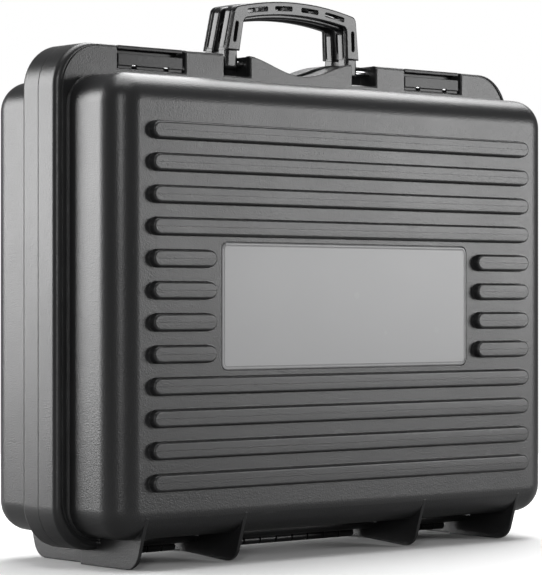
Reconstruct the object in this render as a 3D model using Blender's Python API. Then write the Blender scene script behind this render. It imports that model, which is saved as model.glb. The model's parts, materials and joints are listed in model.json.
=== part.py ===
"""Hard plastic carrying case that stands on its hinge side.

Two ribbed half shells of the same shape meet at a rim. The lid is in front (-Y), the base is the
same half turned by 180 degrees about Z, so that its fins pass between the lid's fins. Z = 0 is the
surface that the fins stand on, and Y = 0 is the plane where the two halves meet.
"""

from math import cos, pi, radians, sin, sqrt, tan

import bmesh
import bpy
from mathutils import Matrix, Vector

MM = 0.001

# Overall sizes
WIDTH = 465.4 * MM             # across the rim
HEIGHT = 367.0 * MM            # rim, bottom to top
SHELL_DEPTH = 77.5 * MM        # parting plane to the flat of a half shell
GROUND_CLEARANCE = 11.6 * MM   # ground to the rim's underside
WALL = 3.2 * MM
CLEARANCE = 0.3 * MM           # between pieces that touch
PARTING_GAP = 0.4 * MM         # between the two rims

# Rim
RIM_DEPTH = 21.4 * MM
RIM_CORNER = 33.0 * MM
RIM_EDGE = 5.0 * MM
CHANNEL_CROWN = 30.0 * MM      # solid rim left at the top, over the hollow channel

# Half shell behind the rim
SIDE_STEP = 11.5 * MM
TOP_STEP = 24.0 * MM
BOTTOM_STEP = 9.8 * MM
SHELL_CORNER = 22.5 * MM
SHELL_ROUND = 21.0 * MM        # round-over from the side walls to the flat

# Ribs and label
RIB_ROWS = 12
SHORT_ROWS = (4, 5, 6, 7)
RIB_HEIGHT = 13.4 * MM
RIB_RISE = 5.7 * MM
RIB_DRAFT = 2.2 * MM           # how much a rib narrows to its crest, on each side
RIB_FIELD_MARGIN = 41.2 * MM   # shell edge to the centre line of the outer rows
RIB_END_MARGIN = 28.6 * MM     # shell side to the rib ends
LABEL_WIDTH = 251.0 * MM
LABEL_HEIGHT = 93.0 * MM
LABEL_CORNER = 5.0 * MM
LABEL_THICKNESS = 1.6 * MM
LABEL_RECESS = 1.5 * MM
LABEL_SIDE_GAP = 7.5 * MM      # label to the short ribs

# Fins: left faces on the lid, from the middle, as shares of the shell's half width
FIN_SHARES = (-0.882, -0.466, 0.357, 0.832)
FIN_THICKNESS = 3.0 * MM
FIN_HEELS = (0.0, 4.5 * MM, 4.5 * MM, 0.0)   # height of each fin's foot at its rear edge
FIN_TOE_SETBACK = 12.0 * MM    # shell front to the corner of the toe
FIN_TOE_RADIUS = 10.0 * MM
FIN_RISE = 26.0 * MM           # rim underside to where a fin runs out on the shell's front
FIN_BACK = 0.6 * MM            # parting plane to the fin's rear edge

# Hinge along the bottom of the rim
HINGE_PIN_RADIUS = 1.5 * MM
HINGE_BORE_CLEARANCE = 0.25 * MM
KNUCKLE_WALL = 1.65 * MM
KNUCKLE_SLOT = 1.4 * MM
HINGE_SHARES = {               # centre and length as shares of the shell's half width; knuckles
    "left": (-0.642, 0.307, 5),
    "centre": (0.0, 0.669, 9),
    "right": (0.642, 0.307, 5),
}

# Handle
HANDLE_OPENING = 110.6 * MM    # between the legs at their feet
LEG_WIDTH = 13.0 * MM
LEG_LEAN = 5.6 * MM            # how far the legs lean inwards up to the shoulders
HANDLE_RISE = 44.9 * MM        # rim top to the middle of the handle's top
SHOULDER_DROP = 7.4 * MM
BAR_HEIGHT = 11.0 * MM
ARCH_DEPTH = 12.0 * MM
ARCH_GAP = 5.6 * MM            # between the front arch and the rear arch
LEG_FOOT_RISE = 4.0 * MM       # rim top to the foot of the arch, over the hinge tab
HANDLE_LEAN = 4.5              # degrees that both arches lean forwards at rest
HANDLE_PIN_DROP = 6.0 * MM     # rim top to the handle pins
HANDLE_PIN_RADIUS = 2.0 * MM
HANDLE_BORE_CLEARANCE = 0.25 * MM
HANDLE_PIN_SEAT = 3.2 * MM
RECESS_INNER_GAP = 3.8 * MM
RECESS_OUTER_GAP = 11.6 * MM
RECESS_SHIFT = 3.2 * MM        # recesses and scoop stand this far to the lid's right
RECESS_DEPTH = 18.0 * MM       # rim top to the recess floor
RECESS_BACK_WALL = 1.7 * MM
SCOOP_MARGIN = 4.7 * MM        # how far the scoop runs out past the legs' inner faces
SCOOP_DROP = 13.0 * MM
SLOT_HEIGHT = 3.6 * MM
BAR_SLOTS = ((0.083, 0.403), (0.533, 0.904))   # ends as shares of half the handle's opening
LEG_SLOT_WIDTH = 3.4 * MM

# Latches
LATCH_SHARE = 0.6555           # latch middles, as a share of the shell's half width
LATCH_WIDTH = 60.0 * MM
LATCH_SIDE_GAP = 3.0 * MM
LATCH_POCKET_DEPTH = 18.4 * MM
LATCH_PIN_RADIUS = 1.5 * MM
LATCH_BORE_CLEARANCE = 0.2 * MM
LATCH_PIN_SEAT = 3.5 * MM
LATCH_PIN_DROP = 14.2 * MM     # rim top to the pin
LATCH_PIN_SETBACK = 2.5 * MM   # latch face to the pin
LATCH_REACH = 14.0 * MM        # how far the flap reaches over the base
LATCH_FLAP = 2.7 * MM
LATCH_FACE_INSET = 1.9 * MM    # rim face to the latch face
LATCH_PLATE_THICKNESS = 12.0 * MM
LATCH_GRIP_DEPTH = 8.0 * MM
CATCH_RECESS = 4.2 * MM
CATCH_MARGIN = 1.2 * MM
SPRING_WALL = 0.8 * MM

# Lining
FOAM_CLEARANCE = 1.0 * MM
LID_FOAM_THICKNESS = 49.0 * MM
PAD_THICKNESS = 10.0 * MM
BLOCK_SET_BACK = 4.0 * MM      # parting plane to the face of the block
POCKET_WIDTH = 330.0 * MM
POCKET_HEIGHT = 210.0 * MM
POCKET_FLOOR = 9.0 * MM        # block left under its pocket

CORNER_STEPS = 5
ROUND_STEPS = 5
ROUND_SIDES = 12

# Places worked out from the sizes above
RIM_TOP = GROUND_CLEARANCE + HEIGHT
SHELL_HALF_WIDTH = WIDTH / 2 - SIDE_STEP
SHELL_BOTTOM = GROUND_CLEARANCE + BOTTOM_STEP
SHELL_TOP = RIM_TOP - TOP_STEP
LABEL_CENTRE = (SHELL_BOTTOM + SHELL_TOP) / 2
RIB_PITCH = (SHELL_TOP - SHELL_BOTTOM - 2 * RIB_FIELD_MARGIN) / (RIB_ROWS - 1)
KNUCKLE_RADIUS = HINGE_PIN_RADIUS + HINGE_BORE_CLEARANCE + KNUCKLE_WALL
HINGE_HEIGHT = GROUND_CLEARANCE - CLEARANCE - KNUCKLE_RADIUS
LEG_INNER = HANDLE_OPENING / 2
LEG_OUTER = LEG_INNER + LEG_WIDTH
RECESS_INNER = LEG_INNER - RECESS_INNER_GAP
RECESS_OUTER = LEG_OUTER + RECESS_OUTER_GAP
RECESS_FLOOR = RIM_TOP - RECESS_DEPTH
ARCH_MIDDLE = (ARCH_DEPTH + ARCH_GAP) / 2
SCOOP_HALF_WIDTH = LEG_INNER + SCOOP_MARGIN
HANDLE_PIN_HEIGHT = RIM_TOP - HANDLE_PIN_DROP
HANDLE_TOP = RIM_TOP + HANDLE_RISE
LEG_FOOT = RIM_TOP + LEG_FOOT_RISE
LATCH_CENTRE = SHELL_HALF_WIDTH * LATCH_SHARE
LATCH_PIN_DEPTH = RIM_DEPTH - LATCH_FACE_INSET - LATCH_PIN_SETBACK
LATCH_PIN_HEIGHT = RIM_TOP - LATCH_PIN_DROP
LATCH_FLOOR = RIM_TOP - LATCH_POCKET_DEPTH
FOAM_BOTTOM = SHELL_DEPTH - WALL - FOAM_CLEARANCE
BLOCK_BOTTOM = FOAM_BOTTOM - PAD_THICKNESS - CLEARANCE
HINGE_GROUPS = {name: (centre * SHELL_HALF_WIDTH, length * SHELL_HALF_WIDTH, count)
                for name, (centre, length, count) in HINGE_SHARES.items()}

SIDES = {"left": -1, "right": 1}


def clear_scene():
    for old in list(bpy.data.objects):
        bpy.data.objects.remove(old, do_unlink=True)


def material(name, colour, roughness, metallic=0.0):
    """A Principled material, made once and then shared by name."""
    made = bpy.data.materials.get(name)
    if made is None:
        made = bpy.data.materials.new(name)
        made.use_nodes = True
        shader = made.node_tree.nodes["Principled BSDF"]
        shader.inputs["Base Color"].default_value = (*colour, 1.0)
        shader.inputs["Roughness"].default_value = roughness
        shader.inputs["Metallic"].default_value = metallic
    return made


def black_plastic():
    return material("black_plastic", (0.022, 0.022, 0.024), 0.42)


def gloss_plastic():
    return material("gloss_black_plastic", (0.015, 0.015, 0.016), 0.25)


def label_grey():
    return material("label_grey", (0.32, 0.32, 0.33), 0.35)


def steel():
    return material("bright_steel", (0.6, 0.6, 0.6), 0.3, 1.0)


def foam_grey():
    return material("charcoal_foam", (0.035, 0.035, 0.037), 0.95)


def new_object(name, shape, finish, smooth_angle=0.6):
    """Turn a bmesh into an object with outward faces and a material."""
    bmesh.ops.recalc_face_normals(shape, faces=shape.faces)
    mesh = bpy.data.meshes.new(name)
    shape.to_mesh(mesh)
    shape.free()
    mesh.materials.append(finish)
    mesh.shade_smooth()
    mesh.set_sharp_from_angle(angle=smooth_angle)
    made = bpy.data.objects.new(name, mesh)
    bpy.context.scene.collection.objects.link(made)
    return made


def boolean(target, tool, operation):
    """Join or cut with a hidden tool object."""
    tool.hide_render = True
    tool.display_type = "WIRE"
    step = target.modifiers.new(tool.name, "BOOLEAN")
    step.operation = operation
    step.object = tool
    step.solver = "EXACT"


def fillet(points, steps=4):
    """Round the corners of a 2D outline given as (u, v, radius)."""
    outline = []
    count = len(points)
    for index, (u, v, radius) in enumerate(points):
        corner = Vector((u, v))
        if radius <= 0:
            outline.append(corner)
            continue
        before = (Vector(points[index - 1][:2]) - corner).normalized()
        after = (Vector(points[(index + 1) % count][:2]) - corner).normalized()
        half = before.angle(after) / 2
        centre = corner + (before + after).normalized() * (radius / sin(half))
        start = corner + before * (radius / tan(half)) - centre
        turn = start.angle_signed(corner + after * (radius / tan(half)) - centre)
        for step in range(steps + 1):
            angle = -turn * step / steps
            outline.append(centre + Matrix.Rotation(angle, 2) @ start)
    return outline


def add_prism(shape, outline, low, high, along):
    """Extrude a 2D outline: (x, z) along Y, or (y, z) along X."""
    def point(u, v, depth):
        return Vector((u, depth, v)) if along == "Y" else Vector((depth, u, v))

    ends = []
    for depth in (low, high):
        ends.append([shape.verts.new(point(u, v, depth)) for u, v in outline])
    add_skin(shape, ends)


def add_skin(shape, loops):
    """Bridge loops of equal length and close both ends."""
    for first, second in zip(loops, loops[1:]):
        for index, corner in enumerate(first):
            shape.faces.new((first[index - 1], corner, second[index], second[index - 1]))
    shape.faces.new(loops[0])
    shape.faces.new(list(reversed(loops[-1])))


def add_box(shape, x_range, y_range, z_range):
    add_prism(shape, [(x_range[0], z_range[0]), (x_range[1], z_range[0]),
                      (x_range[1], z_range[1]), (x_range[0], z_range[1])],
              y_range[0], y_range[1], "Y")


def circle(u, v, radius, sides=ROUND_SIDES):
    return [(u + radius * cos(2 * pi * (i + 0.5) / sides), v + radius * sin(2 * pi * (i + 0.5) / sides))
            for i in range(sides)]


def add_ring(shape, loops):
    """Skin a ring whose section is the loop of loops."""
    for first, second in zip(loops, loops[1:] + loops[:1]):
        for index, corner in enumerate(first):
            shape.faces.new((first[index - 1], corner, second[index], second[index - 1]))


def add_tube(shape, inner, outer, x_range, y, z):
    """A tube along X."""
    corners = ((x_range[0], inner), (x_range[0], outer), (x_range[1], outer), (x_range[1], inner))
    add_ring(shape, [[shape.verts.new((x, u, v)) for u, v in circle(y, z, radius)]
                     for x, radius in corners])


def cylinder(name, radius, x_range, y, z, finish):
    """A pin along X."""
    shape = bmesh.new()
    add_prism(shape, circle(y, z, radius), x_range[0], x_range[1], "X")
    return new_object(name, shape, finish)


def rounded_loop(shape, half_width, bottom, top, radius, y):
    """Vertices of a rounded rectangle that stands in the plane of this y."""
    places = []
    corners = ((half_width, bottom, -pi / 2), (half_width, top, 0.0),
               (-half_width, top, pi / 2), (-half_width, bottom, pi))
    for x, z, start in corners:
        centre_x = x - radius if x > 0 else x + radius
        centre_z = z - radius if z == top else z + radius
        for step in range(CORNER_STEPS + 1):
            angle = start + pi / 2 * step / CORNER_STEPS
            places.append((centre_x + radius * cos(angle), y, centre_z + radius * sin(angle)))
    return [shape.verts.new(place) for place in places]


def rim_loop(shape, inset, depth):
    return rounded_loop(shape, WIDTH / 2 - inset, GROUND_CLEARANCE + inset, RIM_TOP - inset,
                        RIM_CORNER - inset, -depth)


def shell_inset(offset, depth):
    """How far the half shell's wall, moved inwards by offset, lies inside the outer side wall."""
    radius = SHELL_ROUND - offset
    past = max(0.0, depth - (SHELL_DEPTH - SHELL_ROUND))
    return offset + radius - sqrt(max(0.0, radius * radius - past * past))


def shell_loop(shape, offset, depth):
    inset = shell_inset(offset, depth)
    return rounded_loop(shape, SHELL_HALF_WIDTH - inset, SHELL_BOTTOM + inset, SHELL_TOP - inset,
                        max(SHELL_CORNER - inset, 3 * MM), -depth)


def round_depths(offset, steps=ROUND_STEPS):
    """Depths of the loops around the round-over, from the side wall to the flat."""
    start = SHELL_DEPTH - SHELL_ROUND
    return [start + (SHELL_ROUND - offset) * sin(pi / 2 * i / steps) for i in range(steps + 1)]


def half_skin(name):
    """The open tray of one half, with its rim, built as the lid."""
    shape = bmesh.new()
    loops = [shell_loop(shape, 0, depth) for depth in reversed(round_depths(0))]
    loops.append(shell_loop(shape, 0, RIM_DEPTH))
    for step in range(4):
        angle = pi / 2 * step / 3
        loops.append(rim_loop(shape, RIM_EDGE * (1 - sin(angle)), RIM_DEPTH - RIM_EDGE * (1 - cos(angle))))
    loops.append(rim_loop(shape, 0, PARTING_GAP / 2))
    loops.append(shell_loop(shape, WALL, PARTING_GAP / 2))
    loops += [shell_loop(shape, WALL, depth) for depth in round_depths(WALL)]
    add_skin(shape, loops)
    return new_object(name, shape, black_plastic())


def rib_spans(row):
    """The left and right ends of the ribs in a row."""
    end = SHELL_HALF_WIDTH - RIB_END_MARGIN
    inner = LABEL_WIDTH / 2 + LABEL_SIDE_GAP
    return ((-end, -inner), (inner, end)) if row in SHORT_ROWS else ((-end, end),)


def stadium(shape, left, right, z, height, y, steps=5):
    """Vertices of a bar with round ends in the plane of this y."""
    radius = height / 2
    places = []
    for centre, start in ((right - radius, -pi / 2), (left + radius, pi / 2)):
        for step in range(steps + 1):
            angle = start + pi * step / steps
            places.append((centre + radius * cos(angle), y, z + radius * sin(angle)))
    return [shape.verts.new(place) for place in places]


def rib_tool(name):
    """All the ribs of a half: drafted bars that sink into the wall's outer face."""
    shape = bmesh.new()
    for row in range(RIB_ROWS):
        z = SHELL_BOTTOM + RIB_FIELD_MARGIN + row * RIB_PITCH
        for left, right in rib_spans(row):
            loops = []
            for rise, draft in ((-WALL / 3, 0.0), (RIB_RISE * 0.75, RIB_DRAFT * 0.6), (RIB_RISE, RIB_DRAFT)):
                loops.append(stadium(shape, left + draft, right - draft, z, RIB_HEIGHT - 2 * draft,
                                     -(SHELL_DEPTH + rise)))
            add_skin(shape, loops)
    return new_object(name, shape, black_plastic())


def fin_outline(heel):
    """Side view of a fin as (y, z): foot, round toe, sloping front edge, and a top in the walls."""
    middle = SHELL_DEPTH - SHELL_ROUND
    sink = SHELL_ROUND - WALL / 2
    high = SHELL_BOTTOM + SHELL_ROUND
    front = SHELL_DEPTH - CLEARANCE
    profile = [(FIN_BACK, heel, 0.0), (front - FIN_TOE_SETBACK, 0.0, FIN_TOE_RADIUS),
               (front, GROUND_CLEARANCE + FIN_RISE, 0.0), (front, high, 0.0)]
    for step in range(5):
        angle = pi / 2 * step / 4
        profile.append((middle + sink * cos(angle), high - sink * sin(angle), 0.0))
    profile += [(RIM_DEPTH - WALL / 2, high - sink, 0.0),
                (RIM_DEPTH - RIM_EDGE, GROUND_CLEARANCE + WALL / 2, 0.0),
                (FIN_BACK, GROUND_CLEARANCE + WALL / 2, 0.0)]
    return fillet([(-depth, z, radius) for depth, z, radius in profile])


def fin_tool(name):
    """The four fins that the half stands on, sunk into the walls above."""
    shape = bmesh.new()
    for share, heel in zip(FIN_SHARES, FIN_HEELS):
        left = share * SHELL_HALF_WIDTH
        add_prism(shape, fin_outline(heel), left, left + FIN_THICKNESS, "X")
    return new_object(name, shape, black_plastic())


def knuckle_spans(owner):
    """Left and right ends of the knuckles that belong to the base (0) or to the lid (1)."""
    spans = []
    for centre, length, count in HINGE_GROUPS.values():
        pitch = length / count
        for index in range(owner, count, 2):
            left = centre - length / 2 + index * pitch
            spans.append((left + KNUCKLE_SLOT / 2, left + pitch - KNUCKLE_SLOT / 2))
    return spans


def barrel_tool(name, owner):
    """Knuckle barrels with their bores."""
    shape = bmesh.new()
    bore = HINGE_PIN_RADIUS + HINGE_BORE_CLEARANCE
    for span in knuckle_spans(owner):
        add_tube(shape, bore, KNUCKLE_RADIUS, span, 0.0, HINGE_HEIGHT)
    return new_object(name, shape, black_plastic())


def web_tool(name, owner, side):
    """Short webs from the barrels up into their own rim."""
    shape = bmesh.new()
    low = HINGE_HEIGHT + HINGE_PIN_RADIUS + HINGE_BORE_CLEARANCE + KNUCKLE_WALL / 4
    near, far = side * PARTING_GAP, side * KNUCKLE_RADIUS * 0.85
    for left, right in knuckle_spans(owner):
        add_box(shape, (left, right), sorted((near, far)), (low, GROUND_CLEARANCE + WALL / 2))
    return new_object(name, shape, black_plastic())


def channel_tool(name):
    """The hollow of the rim, open at the parting plane; the crown over it stays solid."""
    shape = bmesh.new()
    near, far = -CLEARANCE, RIM_DEPTH - WALL
    add_ring(shape, [rim_loop(shape, WALL, near), shell_loop(shape, 0, near),
                     shell_loop(shape, 0, far), rim_loop(shape, WALL, far)])
    cut = bmesh.ops.bisect_plane(shape, geom=shape.verts[:] + shape.edges[:] + shape.faces[:],
                                 plane_co=(0, 0, RIM_TOP - CHANNEL_CROWN), plane_no=(0, 0, 1),
                                 clear_outer=True)
    edges = [item for item in cut["geom_cut"] if isinstance(item, bmesh.types.BMEdge)]
    bmesh.ops.holes_fill(shape, edges=edges, sides=0)
    return new_object(name, shape, black_plastic())


def scoop_height(x):
    """Height of the rim's top in the finger scoop."""
    return RIM_TOP - SCOOP_DROP * (1 + cos(pi * x / SCOOP_HALF_WIDTH)) / 2


def scoop_tool(name, steps=14):
    shape = bmesh.new()
    outline = []
    for step in range(steps + 1):
        x = SCOOP_HALF_WIDTH * (2 * step / steps - 1)
        outline.append((x + RECESS_SHIFT, scoop_height(x)))
    outline += [(RECESS_SHIFT + SCOOP_HALF_WIDTH, RIM_TOP + WALL),
                (RECESS_SHIFT - SCOOP_HALF_WIDTH, RIM_TOP + WALL)]
    add_prism(shape, outline, -RIM_DEPTH - WALL, WALL, "Y")
    return new_object(name, shape, black_plastic())


def handle_recess_tool(name):
    shape = bmesh.new()
    back = PARTING_GAP / 2 + RECESS_BACK_WALL
    for side in SIDES.values():
        ends = sorted((side * RECESS_INNER, side * RECESS_OUTER))
        add_box(shape, [x + RECESS_SHIFT for x in ends], (-RIM_DEPTH - WALL, -back),
                (RECESS_FLOOR, RIM_TOP + WALL))
    return new_object(name, shape, black_plastic())


def pin_hole_tool(name, spans, radius, depth, height, shift=0.0):
    shape = bmesh.new()
    for low, high in spans:
        for side in SIDES.values():
            ends = sorted((side * low, side * high))
            add_prism(shape, circle(-depth, height, radius), ends[0] + shift, ends[1] + shift, "X")
    return new_object(name, shape, black_plastic())


def handle_pin_span():
    return RECESS_INNER - HANDLE_PIN_SEAT, RECESS_OUTER + HANDLE_PIN_SEAT


def latch_pocket_span():
    half = LATCH_WIDTH / 2 + LATCH_SIDE_GAP
    return LATCH_CENTRE - half, LATCH_CENTRE + half


def latch_pin_span():
    low, high = latch_pocket_span()
    return low - LATCH_PIN_SEAT, high + LATCH_PIN_SEAT


def latch_pocket_tool(name):
    """Where the latches sit in the lid's rim: open in front, on top and towards the base."""
    shape = bmesh.new()
    low, high = latch_pocket_span()
    for side in SIDES.values():
        add_box(shape, sorted((side * low, side * high)), (-RIM_DEPTH - WALL, WALL),
                (LATCH_FLOOR, RIM_TOP + WALL))
    return new_object(name, shape, black_plastic())


def catch_tool(name):
    """Shallow recesses in the base's rim, under the latch flaps."""
    shape = bmesh.new()
    low, high = latch_pocket_span()
    for side in SIDES.values():
        add_box(shape, sorted((side * low, side * high)), (-LATCH_REACH - CATCH_MARGIN, WALL),
                (RIM_TOP - CATCH_RECESS, RIM_TOP + WALL))
    return new_object(name, shape, black_plastic())


def label_tool(name):
    """The shallow recess that the label plate lies in."""
    shape = bmesh.new()
    grow = CLEARANCE
    add_prism(shape, label_outline(grow), -SHELL_DEPTH - WALL, -SHELL_DEPTH + LABEL_RECESS, "Y")
    return new_object(name, shape, black_plastic())


def label_outline(grow):
    half_width, half_height = LABEL_WIDTH / 2 + grow, LABEL_HEIGHT / 2 + grow
    corners = ((1, -1), (1, 1), (-1, 1), (-1, -1))
    return fillet([(x * half_width, LABEL_CENTRE + z * half_height, LABEL_CORNER + grow)
                   for x, z in corners])


def build_half(name, owner, side):
    """A half shell. The base is the lid's shape turned about Z, with catches for latches."""
    half = half_skin(name)
    boolean(half, rib_tool(name + "_ribs"), "UNION")
    boolean(half, fin_tool(name + "_fins"), "UNION")
    boolean(half, channel_tool(name + "_channel"), "DIFFERENCE")
    boolean(half, scoop_tool(name + "_scoop"), "DIFFERENCE")
    boolean(half, handle_recess_tool(name + "_recess"), "DIFFERENCE")
    inner, outer = handle_pin_span()
    hole = HANDLE_PIN_RADIUS + HANDLE_BORE_CLEARANCE
    spans = ((inner - CLEARANCE, RECESS_INNER + CLEARANCE), (RECESS_OUTER - CLEARANCE, outer + CLEARANCE))
    boolean(half, pin_hole_tool(name + "_handle_bores", spans, hole, ARCH_MIDDLE, HANDLE_PIN_HEIGHT,
                                RECESS_SHIFT), "DIFFERENCE")
    if side < 0:
        boolean(half, label_tool(name + "_label_seat"), "DIFFERENCE")
        boolean(half, latch_pocket_tool(name + "_latch_pockets"), "DIFFERENCE")
        low, high = latch_pocket_span()
        pin_low, pin_high = latch_pin_span()
        hole = LATCH_PIN_RADIUS + LATCH_BORE_CLEARANCE
        spans = ((pin_low - CLEARANCE, low + CLEARANCE), (high - CLEARANCE, pin_high + CLEARANCE))
        boolean(half, pin_hole_tool(name + "_latch_bores", spans, hole, LATCH_PIN_DEPTH,
                                    LATCH_PIN_HEIGHT), "DIFFERENCE")
    else:
        boolean(half, catch_tool(name + "_catches"), "DIFFERENCE")
    tools = [step.object for step in half.modifiers]
    if side > 0:
        for piece in [half, *tools]:
            piece.data.transform(Matrix.Rotation(pi, 4, "Z"))
    boolean(half, barrel_tool(name + "_barrels", owner), "UNION")
    boolean(half, web_tool(name + "_webs", owner, side), "UNION")
    return half


def label_plate():
    shape = bmesh.new()
    back = -SHELL_DEPTH + LABEL_RECESS - CLEARANCE
    add_prism(shape, label_outline(-CLEARANCE), back - LABEL_THICKNESS, back, "Y")
    return new_object("label_plate", shape, label_grey())


def bar_top(x):
    """Height of the handle's crowned top."""
    shoulder = LEG_OUTER - LEG_LEAN
    return HANDLE_TOP - SHOULDER_DROP * (x / shoulder) ** 2


def bar_bottom(x):
    return bar_top(x) - BAR_HEIGHT


def arch_outline(steps=8):
    """Front view of one arch, from the right foot over the top and back under the bar."""
    shoulder = LEG_OUTER - LEG_LEAN
    inner_shoulder = LEG_INNER - LEG_LEAN / 2
    points = [(LEG_INNER, LEG_FOOT, 0.0), (LEG_OUTER, LEG_FOOT, 0.0), (shoulder, bar_top(shoulder), 6 * MM)]
    for step in range(1, steps):
        x = shoulder * (1 - 2 * step / steps)
        points.append((x, bar_top(x), 0.0))
    points += [(-shoulder, bar_top(shoulder), 6 * MM), (-LEG_OUTER, LEG_FOOT, 0.0),
               (-LEG_INNER, LEG_FOOT, 0.0), (-inner_shoulder, bar_bottom(inner_shoulder), 4 * MM)]
    for step in range(1, steps):
        x = -inner_shoulder * (1 - 2 * step / steps)
        points.append((x, bar_bottom(x), 0.0))
    points.append((inner_shoulder, bar_bottom(inner_shoulder), 4 * MM))
    return fillet(points)


def tab_outline(top):
    """Side view of a hinge tab about its pin: a round bottom, and a top inside the leg."""
    radius = ARCH_DEPTH / 2
    outline = [(radius, top), (-radius, top)]
    for step in range(ROUND_STEPS * 2 + 1):
        angle = pi + pi * step / (ROUND_STEPS * 2)
        outline.append((radius * cos(angle), radius * sin(angle)))
    return outline


def lower(outline):
    """An outline with its heights counted from the handle pins."""
    return [(x, z - HANDLE_PIN_HEIGHT) for x, z in outline]


def handle_slots(name):
    """Slots along the bar and down the legs."""
    shape = bmesh.new()
    reach = ARCH_DEPTH / 2 + WALL
    low = LEG_FOOT + LEG_WIDTH / 2 - HANDLE_PIN_HEIGHT
    high = HANDLE_TOP - SHOULDER_DROP - BAR_HEIGHT - HANDLE_PIN_HEIGHT
    for direction in SIDES.values():
        for inner, outer in BAR_SLOTS:
            edge = [LEG_INNER * (inner + (outer - inner) * step / 4) for step in range(5)]
            mid = [(direction * x, (bar_top(x) + bar_bottom(x)) / 2) for x in edge]
            outline = [(x, z + SLOT_HEIGHT / 2) for x, z in mid]
            outline += [(x, z - SLOT_HEIGHT / 2) for x, z in reversed(mid)]
            add_prism(shape, lower(outline), -reach, reach, "Y")
        x = direction * (LEG_INNER + LEG_OUTER - LEG_LEAN / 2) / 2
        add_box(shape, (x - LEG_SLOT_WIDTH / 2, x + LEG_SLOT_WIDTH / 2), (-reach, reach),
                (low, high))
    return new_object(name, shape, gloss_plastic())


def handle_tabs(name):
    shape = bmesh.new()
    for direction in SIDES.values():
        ends = sorted((direction * (LEG_INNER + CLEARANCE), direction * (LEG_OUTER - CLEARANCE)))
        add_prism(shape, tab_outline(LEG_FOOT + WALL - HANDLE_PIN_HEIGHT), ends[0], ends[1], "X")
    return new_object(name, shape, gloss_plastic())


def handle_bores(name):
    shape = bmesh.new()
    hole = HANDLE_PIN_RADIUS + HANDLE_BORE_CLEARANCE
    for direction in SIDES.values():
        ends = sorted((direction * (LEG_INNER - WALL), direction * (LEG_OUTER + WALL)))
        add_prism(shape, circle(0.0, 0.0, hole), ends[0], ends[1], "X")
    return new_object(name, shape, gloss_plastic())


def build_handle(name, side):
    """One arch with its two hinge tabs, leaning forwards about its pins. side is -1 in front."""
    middle = side * ARCH_MIDDLE
    shape = bmesh.new()
    add_prism(shape, lower(arch_outline()), -ARCH_DEPTH / 2, ARCH_DEPTH / 2, "Y")
    handle = new_object(name, shape, gloss_plastic())
    tools = ((handle_tabs(name + "_tabs"), "UNION"), (handle_slots(name + "_slots"), "DIFFERENCE"),
             (handle_bores(name + "_bores"), "DIFFERENCE"))
    for tool, operation in tools:
        tool.parent = handle
        boolean(handle, tool, operation)
    handle.location = (0, middle, HANDLE_PIN_HEIGHT)
    handle.rotation_euler = (radians(HANDLE_LEAN), 0, 0)
    for label, direction in SIDES.items():
        ends = sorted(direction * end - side * RECESS_SHIFT for end in handle_pin_span())
        cylinder(f"{name}_pin_{label}", HANDLE_PIN_RADIUS, ends, middle, HANDLE_PIN_HEIGHT, steel())


def latch_outline():
    """Side view of a latch lever: face plate, finger groove and the flap over the base."""
    face = -(RIM_DEPTH - LATCH_FACE_INSET)
    back = face + LATCH_PLATE_THICKNESS
    grip = face + LATCH_GRIP_DEPTH
    bottom = LATCH_PIN_HEIGHT - LATCH_PIN_RADIUS - LATCH_FLAP / 2
    flap = RIM_TOP - LATCH_FLAP
    plate_top = flap - LATCH_FLAP * 1.3
    tip = LATCH_REACH
    return fillet([(face, bottom, 0.8 * MM), (back, bottom, 0.8 * MM), (back, flap, 0.0),
                   (tip, flap, 0.6 * MM), (tip, RIM_TOP, 0.6 * MM), (face, RIM_TOP, 0.8 * MM),
                   (face, flap, 0.6 * MM), (grip, flap, 0.8 * MM), (grip, plate_top, 0.8 * MM),
                   (face, plate_top, 0.6 * MM)], steps=2)


def build_latch(label, direction):
    """A latch lever with its pin and its spring, at the left or the right."""
    centre = direction * LATCH_CENTRE
    half = LATCH_WIDTH / 2
    shape = bmesh.new()
    add_prism(shape, latch_outline(), centre - half, centre + half, "X")
    latch = new_object(f"latch_{label}", shape, gloss_plastic())
    pivot = Vector((0, -LATCH_PIN_DEPTH, LATCH_PIN_HEIGHT))
    latch.location = pivot
    latch.data.transform(Matrix.Translation(-pivot))
    shape = bmesh.new()
    add_prism(shape, circle(-LATCH_PIN_DEPTH, LATCH_PIN_HEIGHT, LATCH_PIN_RADIUS + LATCH_BORE_CLEARANCE),
              centre - half - WALL, centre + half + WALL, "X")
    boolean(latch, new_object(f"latch_{label}_bore", shape, gloss_plastic()), "DIFFERENCE")

    ends = sorted(direction * end for end in latch_pin_span())
    cylinder(f"latch_pin_{label}", LATCH_PIN_RADIUS, ends, -LATCH_PIN_DEPTH, LATCH_PIN_HEIGHT, steel())

    near = centre - direction * (half + CLEARANCE)
    far = centre - direction * (half + LATCH_SIDE_GAP - CLEARANCE)
    inner = LATCH_PIN_RADIUS + LATCH_BORE_CLEARANCE
    shape = bmesh.new()
    add_tube(shape, inner, inner + SPRING_WALL, (near, far), -LATCH_PIN_DEPTH, LATCH_PIN_HEIGHT)
    new_object(f"latch_spring_{label}", shape, steel())


def foam_body(name, near, far):
    """A foam body that fills a half shell between two depths, built as in the lid."""
    shape = bmesh.new()
    offset = WALL + FOAM_CLEARANCE
    depths = [near] + [d for d in round_depths(offset, 4) if near < d < far - CLEARANCE] + [far]
    add_skin(shape, [shell_loop(shape, offset, depth) for depth in depths])
    return new_object(name, shape, foam_grey())


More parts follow.
